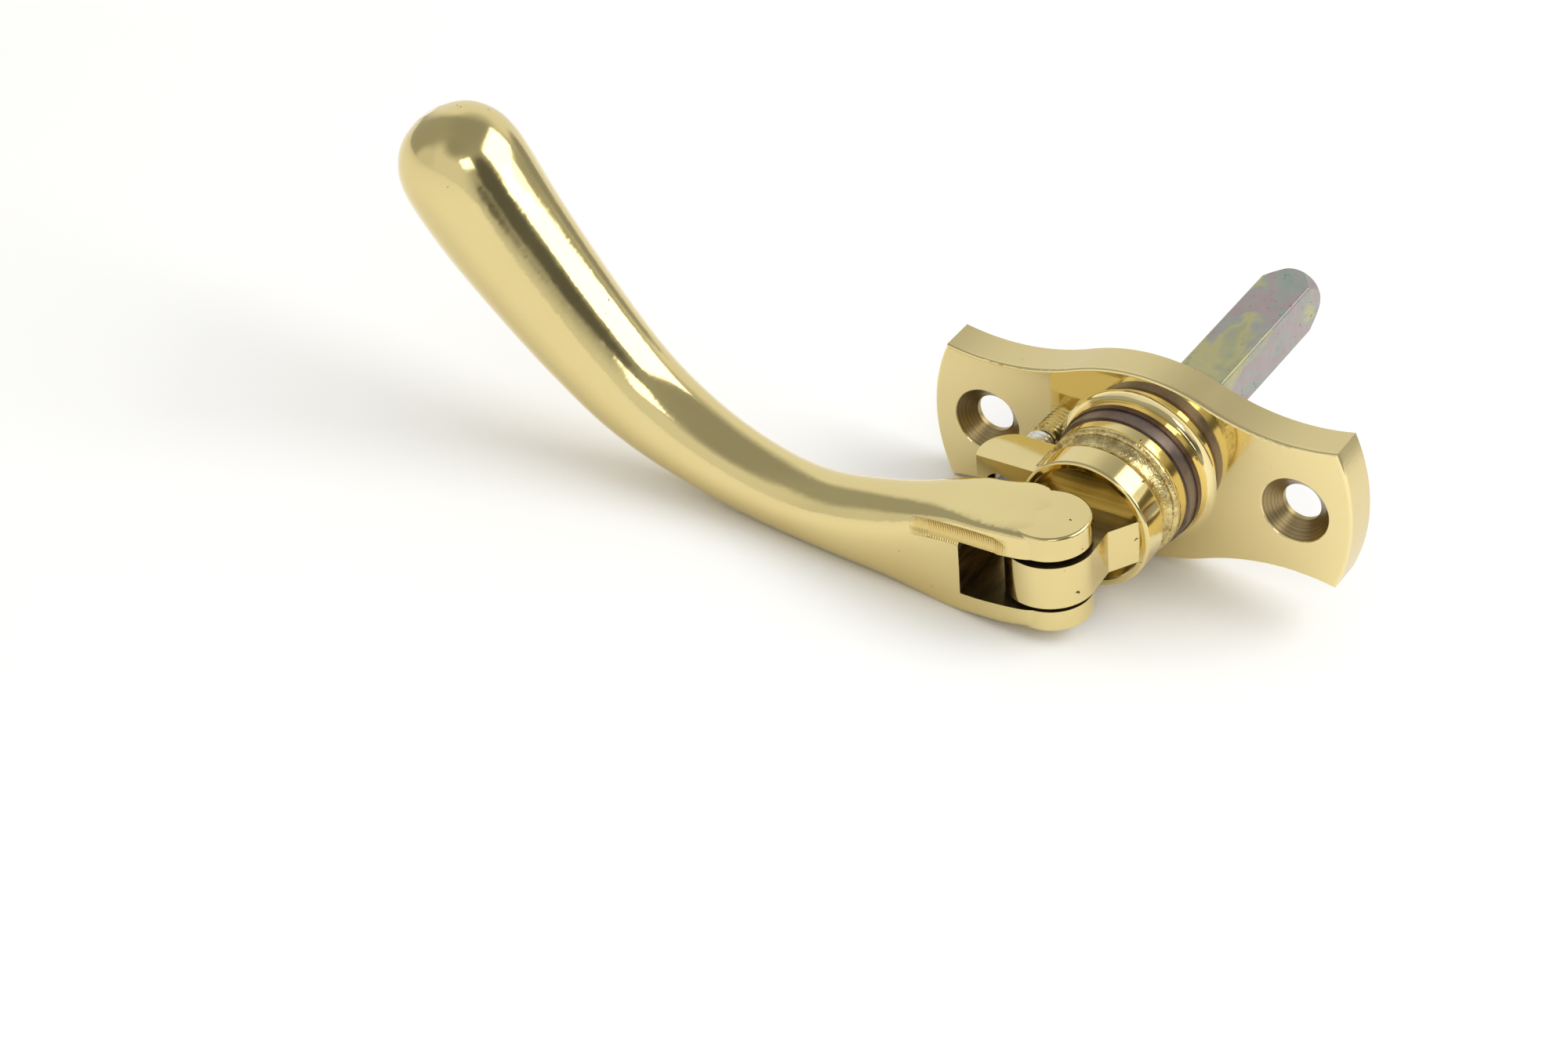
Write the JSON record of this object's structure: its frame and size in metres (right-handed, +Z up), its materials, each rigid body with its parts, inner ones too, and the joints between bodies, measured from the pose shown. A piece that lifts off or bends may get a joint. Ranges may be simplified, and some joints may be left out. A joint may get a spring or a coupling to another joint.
{
  "type": "window handle",
  "caption": "Cranked pear-shaped brass window handle, hinged at its hub, on a waisted countersunk backplate with a square steel spindle behind.",
  "frame": {"origin": "centre of the backplate's rear face, on the spindle axis and midway between the two fixing holes", "axes": "+Y from the room into the window frame along the spindle; +X along the backplate, away from the grip; +Z up the backplate's short side, parallel to the hinge pin"},
  "size_m": [0.1177, 0.0789, 0.0572],
  "materials": {
    "polished_brass": "hand polished, fine scratches and a few casting pits",
    "turned_brass": "polished with rough as-cast shoulders",
    "dark_washer": "dark, tarnished, fine turned grooves",
    "grey_washer": "satin with turned grooves",
    "passivated_steel": "yellow passivated zinc plate, iridescent, with dark specks",
    "zinc_steel": "bright zinc plate",
    "spring_steel": "dark phosphated spring steel"
  },
  "bodies": {
    "frame": {"backplate": "polished_brass", "seat_washer": "dark_washer", "friction_washer": "grey_washer", "disc_spring": "spring_steel"},
    "hub": {"hub": "turned_brass", "spindle": "passivated_steel", "cross_pin": "spring_steel", "backing_washer": "zinc_steel", "circlip": "spring_steel"},
    "lever": {"lever": "polished_brass", "hinge_pin": "passivated_steel"},
    "lock_screw": {"lock_screw": "zinc_steel"}
  },
  "joints": [
    {"name": "spindle_turn", "type": "hinge", "parent": "frame", "child": "hub", "pos_m": [0, 0, 0], "axis": [0, 1, 0], "range_deg": [0, 90]},
    {"name": "handle_hinge", "type": "hinge", "parent": "hub", "child": "lever", "pos_m": [0, -0.0276, 0], "axis": [0, 0, 1], "range_deg": [0, 90]},
    {"name": "lock_screw_travel", "type": "slide", "parent": "hub", "child": "lock_screw", "axis": [0, -1, 0], "range_m": [0, 0.004]}
  ]
}
